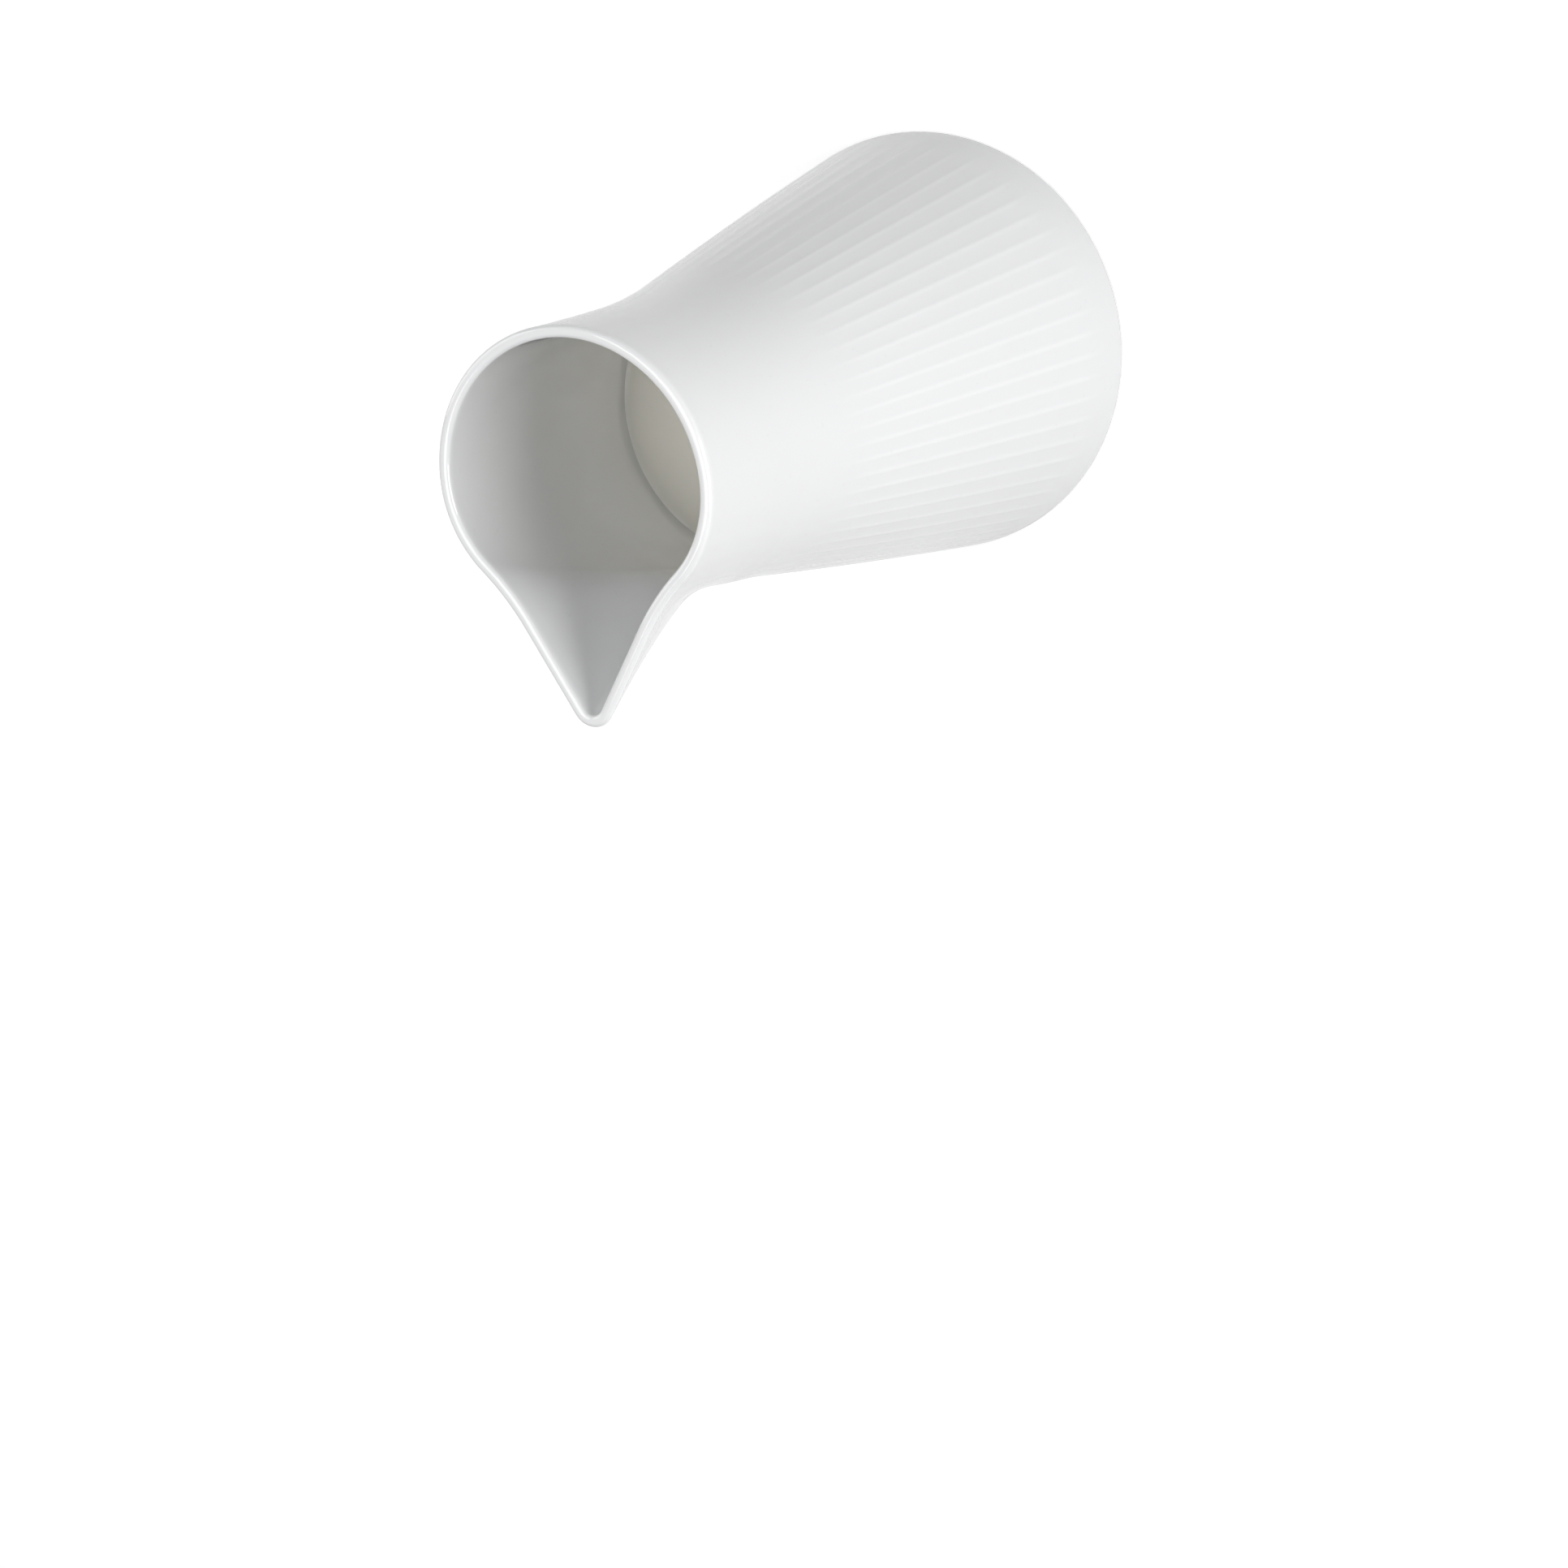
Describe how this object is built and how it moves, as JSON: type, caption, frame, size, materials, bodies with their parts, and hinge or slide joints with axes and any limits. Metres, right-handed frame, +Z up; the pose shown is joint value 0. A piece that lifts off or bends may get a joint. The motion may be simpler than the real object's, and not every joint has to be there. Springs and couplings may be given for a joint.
{
  "type": "serving jug of milk",
  "caption": "Small handleless porcelain milk jug with a fluted conical body, smooth drawn-in neck and pinched pouring spout, part filled with milk.",
  "frame": {"origin": "centre of the foot's underside, on the surface the jug stands on", "axes": "+Z up along the jug's axis, +X towards the tip of the spout, +Y to the left of the spout"},
  "size_m": [0.0748, 0.0746, 0.1226],
  "materials": {
    "porcelain": "gloss",
    "milk": "gloss"
  },
  "bodies": {
    "root": {"jug": "porcelain", "milk": "milk"}
  },
  "joints": []
}
